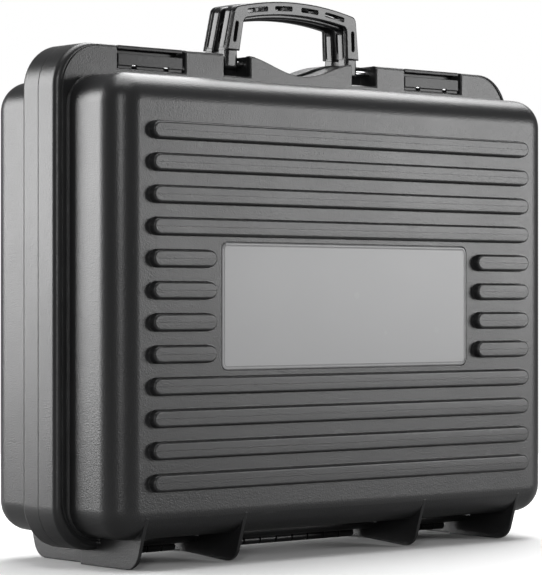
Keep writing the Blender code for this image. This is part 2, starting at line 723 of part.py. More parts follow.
def build_lining():
    """Convoluted foam in the lid, and a block with a pocket on a pad in the base."""
    foam_body("lid_foam", FOAM_BOTTOM - LID_FOAM_THICKNESS, FOAM_BOTTOM)
    pad = foam_body("base_foam_pad", FOAM_BOTTOM - PAD_THICKNESS, FOAM_BOTTOM)
    block = foam_body("base_foam_block", BLOCK_SET_BACK, BLOCK_BOTTOM)
    for piece in (pad, block):
        piece.data.transform(Matrix.Rotation(pi, 4, "Z"))
    shape = bmesh.new()
    add_box(shape, (-POCKET_WIDTH / 2, POCKET_WIDTH / 2), (-WALL, BLOCK_BOTTOM - POCKET_FLOOR),
            (LABEL_CENTRE - POCKET_HEIGHT / 2, LABEL_CENTRE + POCKET_HEIGHT / 2))
    boolean(block, new_object("base_foam_block_pocket", shape, foam_grey()), "DIFFERENCE")


def build_hinge_pins():
    for label, (centre, length, _) in HINGE_GROUPS.items():
        half = length / 2 - KNUCKLE_SLOT / 2
        cylinder(f"hinge_pin_{label}", HINGE_PIN_RADIUS, (centre - half, centre + half), 0.0,
                 HINGE_HEIGHT, steel())


def main():
    clear_scene()
    build_half("base_shell", 0, 1)
    build_half("lid_shell", 1, -1)
    label_plate()
    build_handle("front_handle", -1)
    build_handle("rear_handle", 1)
    for label, direction in SIDES.items():
        build_latch(label, direction)
    build_hinge_pins()
    build_lining()


main()
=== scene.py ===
"""Hard plastic carrying case with a folding double handle, two latches and a foam lining."""

import json
from math import cos, pi, radians, sin

import bmesh
import bpy
from mathutils import Matrix, Vector

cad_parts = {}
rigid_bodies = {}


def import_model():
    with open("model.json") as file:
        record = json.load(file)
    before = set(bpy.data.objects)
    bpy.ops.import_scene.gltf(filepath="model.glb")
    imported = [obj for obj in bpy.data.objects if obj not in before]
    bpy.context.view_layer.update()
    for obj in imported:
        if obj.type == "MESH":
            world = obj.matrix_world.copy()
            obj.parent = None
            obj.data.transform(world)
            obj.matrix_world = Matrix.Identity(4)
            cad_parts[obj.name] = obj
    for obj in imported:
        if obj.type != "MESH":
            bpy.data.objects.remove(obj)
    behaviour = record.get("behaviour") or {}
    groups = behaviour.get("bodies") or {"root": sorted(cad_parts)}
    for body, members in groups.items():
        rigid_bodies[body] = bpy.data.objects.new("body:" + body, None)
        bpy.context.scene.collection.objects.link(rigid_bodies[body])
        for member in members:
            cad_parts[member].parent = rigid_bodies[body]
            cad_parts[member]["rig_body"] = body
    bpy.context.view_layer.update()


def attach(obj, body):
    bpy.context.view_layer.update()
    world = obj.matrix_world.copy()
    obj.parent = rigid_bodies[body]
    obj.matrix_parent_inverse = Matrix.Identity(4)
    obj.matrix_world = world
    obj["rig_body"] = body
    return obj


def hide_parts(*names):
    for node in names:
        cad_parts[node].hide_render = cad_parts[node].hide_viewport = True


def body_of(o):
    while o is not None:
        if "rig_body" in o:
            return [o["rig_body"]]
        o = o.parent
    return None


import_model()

MM = 0.001

# Sizes of the case, as in the CAD model
WIDTH, RIM_BOTTOM, RIM_TOP = 465.4 * MM, 11.6 * MM, 378.6 * MM
RIM_DEPTH, RIM_CORNER, RIM_EDGE = 21.4 * MM, 33 * MM, 5 * MM
SHELL_HALF, SHELL_BOTTOM, SHELL_TOP = 221.2 * MM, 21.4 * MM, 354.6 * MM
SHELL_DEPTH, SHELL_CORNER, SHELL_ROUND = 77.5 * MM, 22.5 * MM, 21 * MM
WALL, GAP = 3.2 * MM, 0.2 * MM
RIB_FIRST, RIB_PITCH, RIB_HEIGHT, RIB_RISE = 62.6 * MM, 22.8 * MM, 13.4 * MM, 5.7 * MM
RIB_END, SHORT_RIB_START = 192.6 * MM, 133 * MM
LABEL_MIDDLE, LABEL_WIDTH, LABEL_HEIGHT = 188 * MM, 251 * MM, 93 * MM
FINS = ((-195.1, 0.0), (-103.1, 4.5), (79.0, 4.5), (184.0, 0.0))
HINGE_HEIGHT, KNUCKLE_RADIUS, KNUCKLE_SLOT = 7.9 * MM, 3.4 * MM, 1.4 * MM
HINGES = {"left": (-142.0, 67.9, 5), "centre": (0.0, 148.0, 9), "right": (142.0, 67.9, 5)}
HANDLE_PIN_Y, HANDLE_PIN_Z, HANDLE_LEAN = 8.8 * MM, 372.6 * MM, radians(4.5)
RECESSES, RECESS_FLOOR, SHIFT = ((-76.7, -48.3), (54.7, 83.1)), 360.6 * MM, 3.2
HANDLE_TOP, LEG_FOOT, LEG_INNER, LEG_OUTER = 423.5 * MM, 382.6 * MM, 55.3 * MM, 68.3 * MM
LATCH_X, LATCH_HALF, LATCH_PIN_Y, LATCH_PIN_Z = 145 * MM, 30 * MM, -17 * MM, 364.4 * MM


# ---------------------------------------------------------------- modelling helpers

def deselect():
    if bpy.context.object and bpy.context.object.mode != "OBJECT":
        bpy.ops.object.mode_set(mode="OBJECT")
    bpy.ops.object.select_all(action="DESELECT")


def take(piece):
    """Make this the only selected piece, and the active one."""
    deselect()
    piece.select_set(True)
    bpy.context.view_layer.objects.active = piece
    return piece


def settle(piece):
    """Move a piece's place, turn and scale into its mesh."""
    take(piece)
    bpy.ops.object.transform_apply(location=True, rotation=True, scale=True)
    return piece


def cube(name, low, high):
    deselect()
    bpy.ops.mesh.primitive_cube_add(size=1, location=[(a + b) / 2 for a, b in zip(low, high)])
    piece = bpy.context.object
    piece.name = piece.data.name = name
    piece.scale = [b - a for a, b in zip(low, high)]
    return settle(piece)


def rod(name, radius, start, end, y, z, sides=32, edge=0.0):
    """A round bar along X with bevelled ends."""
    deselect()
    bpy.ops.mesh.primitive_cylinder_add(vertices=sides, radius=radius, depth=end - start,
                                        location=((start + end) / 2, y, z), rotation=(0, pi / 2, 0))
    piece = bpy.context.object
    piece.name = piece.data.name = name
    settle(piece)
    if edge:
        bevel(piece, lambda a, b: abs(a.x - b.x) < 1e-6 and min(abs(a.x - start), abs(a.x - end)) < 1e-6,
              edge, 2)
    return piece


def pick_edges(piece, test):
    """Select the edges whose two ends pass the test, and stay in edit mode."""
    take(piece)
    bpy.ops.object.mode_set(mode="EDIT")
    bpy.ops.mesh.select_mode(type="EDGE")
    bpy.ops.mesh.select_all(action="DESELECT")
    mesh = bmesh.from_edit_mesh(piece.data)
    for edge in mesh.edges:
        edge.select_set(bool(test(edge.verts[0].co, edge.verts[1].co)))
    bmesh.update_edit_mesh(piece.data)


def pick_faces(piece, test):
    """Select the faces whose middle and normal pass the test, and stay in edit mode."""
    take(piece)
    bpy.ops.object.mode_set(mode="EDIT")
    bpy.ops.mesh.select_mode(type="FACE")
    bpy.ops.mesh.select_all(action="DESELECT")
    mesh = bmesh.from_edit_mesh(piece.data)
    for face in mesh.faces:
        face.select_set(bool(test(face.calc_center_median(), face.normal)))
    bmesh.update_edit_mesh(piece.data)


def done(piece):
    bpy.ops.object.mode_set(mode="OBJECT")
    return piece


def bevel(piece, test, width, steps):
    """Round the edges that pass the test."""
    pick_edges(piece, test)
    bpy.ops.mesh.bevel(offset=width, offset_type="OFFSET", segments=steps, clamp_overlap=False)
    return done(piece)


def along_y(a, b):
    return abs(a.x - b.x) < 1e-6 and abs(a.z - b.z) < 1e-6


def along_x(a, b):
    return abs(a.y - b.y) < 1e-6 and abs(a.z - b.z) < 1e-6


def at_depth(y):
    """A test for edges that lie in the plane of this y."""
    return lambda a, b: abs(a.y - y) < 1e-6 and abs(b.y - y) < 1e-6


def modify(piece, kind, **settings):
    """Add a modifier and apply it."""
    take(piece)
    step = piece.modifiers.new(kind.title(), kind)
    for name, value in settings.items():
        setattr(step, name, value)
    bpy.ops.object.modifier_apply(modifier=step.name)
    return piece


def combine(piece, tool, operation):
    modify(piece, "BOOLEAN", operation=operation, object=tool, solver="EXACT")
    bpy.data.objects.remove(tool, do_unlink=True)
    return piece


def join(piece, tool):
    return combine(piece, tool, "UNION")


def cut(piece, tool):
    return combine(piece, tool, "DIFFERENCE")


def merge(name, parts):
    """Several closed bodies in one object."""
    deselect()
    for part in parts:
        part.select_set(True)
    bpy.context.view_layer.objects.active = parts[0]
    bpy.ops.object.join()
    parts[0].name = parts[0].data.name = name
    return parts[0]


def copy(piece, name, move=(0, 0, 0), turn=0.0):
    """A copy with its own mesh, turned about Z and then moved."""
    made = piece.copy()
    made.data = piece.data.copy()
    made.name = made.data.name = name
    bpy.context.scene.collection.objects.link(made)
    made.rotation_euler = (0, 0, turn)
    made.location = move
    return settle(made)


def rounded_block(name, half, bottom, top, near, far, corner, steps=8, edge=0.0, edge_steps=6):
    """A standing block whose corners are rounded seen from the front, and its far edge too."""
    block = cube(name, (-half, far, bottom), (half, near, top))
    bevel(block, along_y, corner, steps)
    if edge:
        bevel(block, at_depth(far), edge, edge_steps)
    return block


def band(name, outer, inner, near, far):
    """A ring between two rounded outlines given as (half width, bottom, top, corner)."""
    ring = rounded_block(name, outer[0], outer[1], outer[2], near, far, outer[3])
    hole = rounded_block(name + "_hole", inner[0], inner[1], inner[2], near + MM, far - MM, inner[3])
    return cut(ring, hole)


def prism(name, outline, near, far):
    """A plate with this outline in X and Z."""
    deselect()
    bpy.ops.mesh.primitive_circle_add(vertices=len(outline), radius=0.01, fill_type="NGON",
                                      location=(0, near, 0), rotation=(pi / 2, 0, 0))
    piece = settle(bpy.context.object)
    piece.name = piece.data.name = name
    for point, (x, z) in zip(piece.data.vertices, outline):
        point.co = (x, near, z)
    bpy.ops.object.mode_set(mode="EDIT")
    bpy.ops.mesh.select_all(action="SELECT")
    bpy.ops.mesh.extrude_region_move(TRANSFORM_OT_translate={"value": (0, far - near, 0)})
    bpy.ops.mesh.select_all(action="SELECT")
    bpy.ops.mesh.normals_make_consistent(inside=False)
    return done(piece)


def flat_shape(name, outlines, near, far, edge=0.0, steps=3):
    """A plate from outlines in X and Z, the first one outside and the others holes.

    A deep edge is given to the near face only."""
    piece = prism(name, outlines[0], near, far)
    if edge:
        both = 2 * edge < abs(far - near)
        bevel(piece, lambda a, b: at_depth(near)(a, b) or (both and at_depth(far)(a, b)), edge, steps)
    for outline in outlines[1:]:
        cut(piece, prism("hole", outline, min(near, far) - MM, max(near, far) + MM))
    return piece


def soften(points, steps=6):
    """Round the corners of an outline given as (x, z, radius)."""
    outline = []
    for index, (x, z, radius) in enumerate(points):
        corner = Vector((x, z))
        if not radius:
            outline.append((x, z))
            continue
        before = (Vector(points[index - 1][:2]) - corner).normalized()
        after = (Vector(points[(index + 1) % len(points)][:2]) - corner).normalized()
        half = before.angle(after) / 2
        reach = radius * cos(half) / sin(half)
        first, last = corner + before * reach, corner + after * reach
        middle = corner + (before + after).normalized() * (radius / sin(half))
        turn = (last - middle).angle_signed(first - middle)
        for step in range(steps + 1):
            spot = middle + Matrix.Rotation(turn * step / steps, 2) @ (first - middle)
            outline.append((spot.x, spot.y))
    return outline


def finish_mesh(piece, finish, body, angle=32, replaces=()):
    """Shade, give a material, and say which body the piece belongs to."""
    take(piece)
    bpy.ops.object.shade_smooth_by_angle(angle=radians(angle))
    modify(piece, "WEIGHTED_NORMAL", keep_sharp=True, weight=60)
    piece.data.materials.clear()
    piece.data.materials.append(finish)
    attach(piece, body)
    if replaces:
        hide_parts(*replaces)
    return piece


# ---------------------------------------------------------------- half shells

def rib(name, left, right, z):
    """One drafted rib with round ends and a soft crest."""
    base, crest = -SHELL_DEPTH + 1.2 * MM, -SHELL_DEPTH - RIB_RISE
    bar = cube(name, (left, crest, z - RIB_HEIGHT / 2), (right, base, z + RIB_HEIGHT / 2))
    bevel(bar, along_y, RIB_HEIGHT / 2 - 0.02 * MM, 8)
    pick_faces(bar, lambda middle, normal: normal.y < -0.9)
    draft = 0.7 * MM
    bpy.ops.transform.resize(value=(1 - 2 * draft / (right - left), 1, 1 - 2 * draft / RIB_HEIGHT),
                             center_override=((left + right) / 2, crest, z))
    done(bar)
    return bevel(bar, at_depth(crest), 1.5 * MM, 4)


def fin(name, left, heel):
    """A standing fin: sloping front edge, round toe, heel raised or not."""
    back, front, high = -0.6 * MM, -77.2 * MM, 37.6 * MM
    blade = cube(name, (left, front, 0), (left + 3 * MM, back, high))
    pick_edges(blade, lambda a, b: along_x(a, b) and a.z < MM and a.y < front + MM)
    bpy.ops.transform.translate(value=(0, 12 * MM, 0))
    done(blade)
    if heel:
        pick_edges(blade, lambda a, b: along_x(a, b) and a.z < MM and a.y > back - MM)
        bpy.ops.transform.translate(value=(0, 0, heel))
        done(blade)
    bevel(blade, lambda a, b: along_x(a, b) and a.z < MM and a.y < front + 20 * MM, 10 * MM, 6)
    return bevel(blade, lambda a, b: not along_x(a, b), 0.5 * MM, 2)


def rim_outline(piece, start, end):
    """Shrink what is selected from one rim outline to the next, given as (side inset, top inset)."""
    low, high = RIM_BOTTOM + start[0], RIM_TOP - start[1]
    new_low, new_high = RIM_BOTTOM + end[0], RIM_TOP - end[1]
    tall = (new_high - new_low) / (high - low)
    middle = (new_high - tall * high) / (1 - tall)
    wide = (WIDTH / 2 - end[0]) / (WIDTH / 2 - start[0])
    bpy.ops.transform.resize(value=(wide, 1, tall), center_override=(0, 0, middle))


def rim_block():
    """The rim, with a broad round-over at the sides and a tight one along the top."""
    block = rounded_block("half", WIDTH / 2, RIM_BOTTOM, RIM_TOP, -GAP, -RIM_DEPTH + RIM_EDGE, RIM_CORNER, 14)
    pick_faces(block, lambda middle, normal: normal.y < -0.9)
    steps = 6
    for step in range(steps):
        first, last = pi / 2 * step / steps, pi / 2 * (step + 1) / steps
        bpy.ops.mesh.extrude_region_move(
            TRANSFORM_OT_translate={"value": (0, RIM_EDGE * (sin(first) - sin(last)), 0)})
        rim_outline(block, *[(RIM_EDGE * (1 - cos(angle)), 1.3 * MM * (1 - cos(angle)))
                             for angle in (first, last)])
    return done(block)


def rim_plate(name, insets, near, far):
    plate = rounded_block(name, WIDTH / 2, RIM_BOTTOM, RIM_TOP, near, far, RIM_CORNER, 14)
    pick_faces(plate, lambda middle, normal: True)
    rim_outline(plate, (0, 0), insets)
    return done(plate)


def opening(half, left, right, floor, back, lip):
    """A recess in the rim: a front plate with a chamfered mouth, and a wider hollow behind it."""
    front, plate, top = -RIM_DEPTH, -RIM_DEPTH + 5.2 * MM, RIM_TOP + 4 * MM
    cut(half, cube("hollow", (left, plate - 0.1 * MM, floor), (right, back, top)))
    mouth = cube("mouth", (left + 0.1 * MM, front - 2 * MM, floor + lip), (right - lip, plate, top))
    bevel(mouth, lambda a, b: along_y(a, b) and a.z < floor + 2 * lip, 1.2 * MM, 4)
    cut(half, mouth)
    flare = cube("flare", (left + 0.1 * MM, front - MM, floor + lip), (right - lip, front + 1.1 * MM, top))
    pick_edges(flare, lambda a, b: a.y < front and b.y < front and a.z < floor + 2 * lip and along_x(a, b))
    bpy.ops.transform.translate(value=(0, 0, -1.9 * MM))
    done(flare)
    side = right - 2 * lip
    pick_edges(flare, lambda a, b: a.y < front and b.y < front and a.x > side and b.x > side)
    bpy.ops.transform.translate(value=(1.5 * MM, 0, 0))
    done(flare)
    cut(half, flare)


def scoop_height(x):
    return RIM_TOP - 6.5 * MM * (1 + cos(pi * (x - SHIFT * MM) / (60 * MM)))


def half_body():
    """What both halves share: the rim, the shell, the ribs, the fins and their hollows."""
    half = rim_block()
    join(half, rounded_block("shell", SHELL_HALF, SHELL_BOTTOM, SHELL_TOP, -2 * MM, -SHELL_DEPTH,
                             SHELL_CORNER, 12, SHELL_ROUND, 12))
    join(half, rounded_block("shell_foot", SHELL_HALF + 0.8 * MM, SHELL_BOTTOM - 0.8 * MM,
                             SHELL_TOP + 0.8 * MM, -4 * MM, -RIM_DEPTH - 0.7 * MM, SHELL_CORNER + 0.8 * MM,
                             12, 0.5 * MM, 2))
    full = rib("rib", -RIB_END, RIB_END, 0)
    short = {-1: rib("short_rib_left", -RIB_END, -SHORT_RIB_START, 0),
             1: rib("short_rib_right", SHORT_RIB_START, RIB_END, 0)}
    ribs = []
    for row in range(12):
        z = RIB_FIRST + row * RIB_PITCH
        for model in (short.values() if 4 <= row <= 7 else (full,)):
            ribs.append(copy(model, f"rib_{row}", (0, 0, z)))
    for model in (full, *short.values()):
        bpy.data.objects.remove(model, do_unlink=True)
    join(half, merge("ribs", ribs))
    join(half, merge("fins", [fin(f"fin_{x:.0f}", x * MM, heel * MM) for x, heel in FINS]))

    cut(half, rounded_block("hollow", SHELL_HALF - WALL, SHELL_BOTTOM + WALL, SHELL_TOP - WALL, MM,
                            -SHELL_DEPTH + WALL, SHELL_CORNER - WALL, 10, SHELL_ROUND - WALL, 8))
    channel = band("channel", (WIDTH / 2 - WALL, RIM_BOTTOM + WALL, RIM_TOP - WALL, RIM_CORNER - WALL),
                   (SHELL_HALF, SHELL_BOTTOM, SHELL_TOP, SHELL_CORNER), MM, -RIM_DEPTH + WALL)
    cut(channel, cube("crown", (-0.3, -0.1, RIM_TOP - 30 * MM), (0.3, 0.1, 0.5)))
    cut(half, channel)

    # A bead between two grooves on the rim's step; the inner groove runs out at the top corners
    near, far = -RIM_DEPTH + 0.9 * MM, -RIM_DEPTH - 3 * MM
    groove = rim_plate("groove", (4.7 * MM, 1.2 * MM), near, far)
    cut(groove, rim_plate("bead", (6.1 * MM, 2.0 * MM), near + MM, far - MM))
    cut(half, groove)
    outer, inner = [(SHELL_HALF + grow, SHELL_BOTTOM - grow, SHELL_TOP + grow, SHELL_CORNER + grow)
                    for grow in (2.8 * MM, 1.2 * MM)]
    groove = band("groove", outer, inner, near, far)
    cut(groove, cube("above", (-0.3, -0.1, SHELL_TOP - 12 * MM), (0.3, 0.1, 0.5)))
    cut(half, groove)

    # Finger scoop and the recesses for the handle's legs
    steps = 32
    xs = [(SHIFT + 60 * (2 * s / steps - 1)) * MM for s in range(steps + 1)]
    outline = [(x, scoop_height(x)) for x in xs]
    outline += [(xs[-1], RIM_TOP + 4 * MM), (xs[0], RIM_TOP + 4 * MM)]
    cut(half, flat_shape("scoop", [outline], MM, -RIM_DEPTH - 2 * MM))
    for left, right in RECESSES:
        opening(half, left * MM, right * MM, RECESS_FLOOR, -1.9 * MM, 1.5 * MM)
        cut(half, rod("bore", 2.25 * MM, (left - 3.5) * MM, (right + 3.5) * MM, -HANDLE_PIN_Y,
                      HANDLE_PIN_Z, 24))
    return bevel(half, lambda a, b: at_depth(-RIM_DEPTH)(a, b) and on_scoop(a) and on_scoop(b), 0.9 * MM, 2)


def on_scoop(point):
    """Whether a point lies on the scoop's curve, between the two recesses."""
    return abs(point.z - scoop_height(point.x)) < 0.05 * MM and -47 < point.x / MM < 54


def knuckles(half, owner, side):
    """Hinge barrels with their webs and bores."""
    for name, (centre, length, count) in HINGES.items():
        pitch = length / count
        parts = []
        for index in range(owner, count, 2):
            left = (centre - length / 2 + index * pitch) * MM + KNUCKLE_SLOT / 2
            right = left + pitch * MM - KNUCKLE_SLOT
            barrel = rod("barrel", KNUCKLE_RADIUS, left, right, 0, HINGE_HEIGHT, 24, 0.3 * MM)
            near, far = sorted((side * 0.4 * MM, side * 2.9 * MM))
            web = cube("web", (left, near, 10.1 * MM), (right, far, 13.2 * MM))
            parts.append(join(barrel, web))
        row = merge("barrels", parts)
        reach = (length / 2 + 2) * MM
        cut(row, rod("bore", 1.75 * MM, centre * MM - reach, centre * MM + reach, 0, HINGE_HEIGHT, 24))
        join(half, row)
    return half


def lid_shell(model):
    lid = copy(model, "lid_moulding")
    for side in (-1, 1):
        low, high = sorted((side * 112 * MM, side * 178 * MM))
        opening(lid, low, high, 360.2 * MM, 3 * MM, 1.1 * MM)
        cut(lid, rod("bore", 1.7 * MM, low - 3.8 * MM, high + 3.8 * MM, LATCH_PIN_Y, LATCH_PIN_Z, 24))
    half_width, half_height = LABEL_WIDTH / 2 + 0.3 * MM, LABEL_HEIGHT / 2 + 0.3 * MM
    cut(lid, rounded_block("seat", half_width, LABEL_MIDDLE - half_height, LABEL_MIDDLE + half_height,
                           -SHELL_DEPTH + 1.5 * MM, -SHELL_DEPTH - 3 * MM, 5.3 * MM, 5))
    knuckles(lid, 1, -1)
    finish_mesh(lid, moulded_black(), "lid", 34, ["lid_shell"])


def base_shell(model):
    base = copy(model, "base_moulding", turn=pi)
    for side in (-1, 1):
        low, high = sorted((side * 112 * MM, side * 178 * MM))
        cut(base, cube("catch", (low, -3 * MM, 374.4 * MM), (high, 15.2 * MM, RIM_TOP + 4 * MM)))
    knuckles(base, 0, 1)
    finish_mesh(base, moulded_black(), "base", 34, ["base_shell"])


# ---------------------------------------------------------------- label, handles and latches

def label():
    far, near = -SHELL_DEPTH - 0.4 * MM, -SHELL_DEPTH + 1.2 * MM
    half_width, half_height = LABEL_WIDTH / 2 - 0.3 * MM, LABEL_HEIGHT / 2 - 0.3 * MM
    plate = rounded_block("label_panel", half_width, LABEL_MIDDLE - half_height,
                          LABEL_MIDDLE + half_height, near, far, 4.7 * MM, 6)
    pick_faces(plate, lambda middle, normal: normal.y < -0.9)
    bpy.ops.mesh.inset(thickness=1.5 * MM, depth=0)
    bpy.ops.mesh.inset(thickness=0.5 * MM, depth=-0.35 * MM)
    bpy.ops.mesh.inset(thickness=0.5 * MM, depth=0.3 * MM)
    done(plate)
    border = 1.4 * MM
    bevel(plate, lambda a, b: at_depth(far)(a, b) and (
          abs(a.x) > half_width - border or abs(a.z - LABEL_MIDDLE) > half_height - border), 0.7 * MM, 3)
    finish_mesh(plate, satin_grey(), "lid", 30, ["label_plate"])


def bar_top(x, drop=0.0):
    return HANDLE_TOP - drop - 7.4 * MM * (x / (62.7 * MM)) ** 2


def arch(inset, thick=0.0):
    """Front outline of a handle arch, moved inwards; thick lowers the underside of the bar."""
    foot, shoulder, inner = LEG_FOOT, LEG_OUTER - 5.6 * MM - inset, LEG_INNER - 2.8 * MM + inset
    points = [(LEG_INNER + inset, foot, 0), (LEG_OUTER - inset, foot, 0),
              (shoulder, bar_top(shoulder, inset), 6 * MM)]
    steps = 14
    span = shoulder - 7 * MM
    points += [(span * (1 - 2 * s / steps), bar_top(span * (1 - 2 * s / steps), inset), 0)
               for s in range(steps + 1)]
    points += [(-shoulder, bar_top(shoulder, inset), 6 * MM), (-LEG_OUTER + inset, foot, 0),
               (-LEG_INNER - inset, foot, 0),
               (-inner, bar_top(inner, 11 * MM - inset + thick), 4 * MM)]
    span = inner - 6 * MM
    points += [(-span * (1 - 2 * s / steps), bar_top(span * (1 - 2 * s / steps), 11 * MM - inset + thick), 0)
               for s in range(steps + 1)]
    points += [(inner, bar_top(inner, 11 * MM - inset + thick), 4 * MM)]
    return soften(points)


def slots(grow=0.0):
    """Outlines of the slots along the bar and down the legs."""
    made = []
    half = 1.8 * MM + grow
    for side in (-1, 1):
        for start, end in ((4.6, 22.3), (29.5, 50.0)):
            steps = 6
            xs = [side * (start + (end - start) * s / steps) * MM for s in range(steps + 1)]
            xs[0], xs[-1] = xs[0] - side * grow, xs[-1] + side * grow
            mid = [(x, bar_top(x, 5.5 * MM)) for x in xs]
            points = [(x, z + half, 0) for x, z in mid] + [(x, z - half, 0) for x, z in reversed(mid)]
            for corner in (0, steps, steps + 1, 2 * steps + 1):
                points[corner] = (*points[corner][:2], 1.2 * MM)
            made.append(soften(points, 4))
        x = side * 60.4 * MM
        low, high = 389.1 * MM - grow, 405.1 * MM + grow
        leg = 1.7 * MM + grow
        lean = -side * 0.9 * MM
        made.append(soften([(x - leg - lean, low, leg * 0.95), (x + leg - lean, low, leg * 0.95),
                            (x + leg + lean, high, leg * 0.95), (x - leg + lean, high, leg * 0.95)], 5))
    return made


def handle(name, body, side):
    """A moulded arch in layers, with slots, hinge tabs and pins, leaning about its pins."""
    # Front, back, inset of the outline, thickening of the bar and round-over of each layer, in mm
    layers = ((-6.0, -4.2, 0.0, 0.0, 1.35), (-4.4, -3.2, 1.0, 0.0, 0.0), (-3.4, -2.0, 0.3, 0.0, 0.5),
              (-2.2, -1.4, 1.3, 0.0, 0.0), (-1.6, 6.0, 0.5, 3.2, 1.7))
    parts = []
    for index, (front, back, inset, thick, edge) in enumerate(layers):
        outlines = [arch(inset * MM, thick * MM), *slots(0.25 * MM if index else 0.0)]
        parts.append(flat_shape(f"{name}_layer", outlines, front * MM, back * MM, edge * MM))
    for direction in (-1, 1):
        left, right = sorted((direction * 55.9 * MM, direction * 67.7 * MM))
        tab = cube("tab", (left, -4.4 * MM, 367.8 * MM), (right, 4.6 * MM, 384.6 * MM))
        bevel(tab, lambda a, b: along_x(a, b) and a.z < 370 * MM, 3.6 * MM, 6)
        bevel(tab, lambda a, b: a.y < -4.3 * MM and b.y < -4.3 * MM and abs(a.x - b.x) < MM, 3.2 * MM, 6)
        parts.append(tab)
        low, high = sorted((direction * 56.6 * MM, direction * 67.0 * MM))
        parts.append(cube("neck", (low, -2.4 * MM, 376 * MM), (high, 3.4 * MM, 386 * MM)))
    piece = merge(name, parts)
    if side > 0:
        turn_to_base(piece)
    piece.location = (0, side * HANDLE_PIN_Y, 0)
    settle(piece)
    pivot = Vector((0, side * HANDLE_PIN_Y, HANDLE_PIN_Z))
    piece.data.transform(Matrix.Translation(pivot) @ Matrix.Rotation(HANDLE_LEAN, 4, "X")
                         @ Matrix.Translation(-pivot))
    finish_mesh(piece, handle_gloss(), body, replaces=[body])
    for word, direction in (("left", -1), ("right", 1)):
        low, high = sorted((direction * 48.4 - side * SHIFT, direction * 83.0 - side * SHIFT))
        low, high = low * MM, high * MM
        pin = rod(f"{name}_axle_{word}", 2 * MM, low, high, side * HANDLE_PIN_Y, HANDLE_PIN_Z, 32, 0.4 * MM)
        owner = frame_body(f"{body}_pin_{word}")
        finish_mesh(pin, bright_steel(), owner, replaces=[f"{body}_pin_{word}"])


def frame_body(node):
    """The body that a CAD node rides on."""
    return body_of(bpy.data.objects[node])[0]


def latch(word, direction):
    """A latch lever with its pin and coil spring."""
    centre = direction * LATCH_X
    left, right = centre - LATCH_HALF, centre + LATCH_HALF
    face, back, grip = -19.5 * MM, -7.5 * MM, -11.5 * MM
    lever = cube("lever", (left, face, 361.55 * MM), (right, back, 377.0 * MM))
    bevel(lever, lambda a, b: along_x(a, b) and a.z < 362 * MM, 0.8 * MM, 3)
    flap = cube("flap", (left, face, 375.9 * MM), (right, 14 * MM, RIM_TOP))
    bevel(flap, lambda a, b: not (abs(a.z - b.z) > MM) and a.z > 378 * MM, 0.7 * MM, 3)
    join(lever, flap)
    groove = cube("groove", (left - MM, face - 2 * MM, 372.39 * MM), (right + MM, grip, 375.9 * MM))
    bevel(groove, lambda a, b: along_x(a, b) and a.y > grip - MM, 0.8 * MM, 3)
    cut(lever, groove)
    cut(lever, cube("step", (left - MM, face - 2 * MM, 360 * MM), (right + MM, face + 0.8 * MM, 364.0 * MM)))
    for share in (-0.5, 0.5):
        x = centre + share * LATCH_HALF
        notch = cube("notch", (x - 2.4 * MM, face - 2 * MM, 360 * MM),
                     (x + 2.4 * MM, face + 3.8 * MM, 364.6 * MM))
        bevel(notch, lambda a, b: along_y(a, b) and a.z > 364 * MM, 0.6 * MM, 3)
        cut(lever, notch)
    cut(lever, rod("bore", 1.7 * MM, left - 3 * MM, right + 3 * MM, LATCH_PIN_Y, LATCH_PIN_Z, 24))
    finish_mesh(lever, latch_black(), f"latch_{word}", replaces=[f"latch_{word}"])

    low, high = sorted((direction * 108.5 * MM, direction * 181.5 * MM))
    pin = rod(f"latch_axle_{word}", 1.5 * MM, low, high, LATCH_PIN_Y, LATCH_PIN_Z, 24, 0.3 * MM)
    finish_mesh(pin, bright_steel(), frame_body(f"latch_pin_{word}"),
                replaces=[f"latch_pin_{word}"])

    start = centre - direction * (LATCH_HALF + 0.75 * MM)
    deselect()
    bpy.ops.mesh.primitive_circle_add(vertices=8, radius=0.36 * MM, fill_type="NOTHING",
                                      location=(0, 2.12 * MM, 0), rotation=(pi / 2, pi / 2, pi / 2))
    coil = bpy.context.object
    coil.name = coil.data.name = f"coil_spring_{word}"
    settle(coil)
    bpy.ops.object.mode_set(mode="EDIT")
    bpy.ops.mesh.select_all(action="SELECT")
    bpy.ops.transform.rotate(value=pi / 2, orient_axis="Z", center_override=(0, 2.12 * MM, 0))
    done(coil)
    modify(coil, "SCREW", axis="X", angle=2 * pi * 2, screw_offset=1.55 * MM, steps=40, render_steps=40,
           use_merge_vertices=False)
    pick_edges(coil, lambda a, b: False)
    bpy.ops.mesh.select_non_manifold()
    bpy.ops.mesh.fill_holes(sides=0)
    bpy.ops.mesh.select_all(action="SELECT")
    bpy.ops.mesh.normals_make_consistent(inside=False)
    done(coil)
    coil.location = (start if direction < 0 else start - 1.55 * MM, LATCH_PIN_Y, LATCH_PIN_Z)
    settle(coil)
    finish_mesh(coil, bright_steel(), frame_body(f"latch_spring_{word}"), 40,
                [f"latch_spring_{word}"])


def hinge_pins():
    for name, (centre, length, _) in HINGES.items():
        half = (length / 2) * MM - KNUCKLE_SLOT / 2
        pin = rod(f"hinge_axle_{name}", 1.5 * MM, centre * MM - half, centre * MM + half, 0, HINGE_HEIGHT,
                  24, 0.3 * MM)
        finish_mesh(pin, bright_steel(), frame_body(f"hinge_pin_{name}"),
                    replaces=[f"hinge_pin_{name}"])


# ---------------------------------------------------------------- foam lining

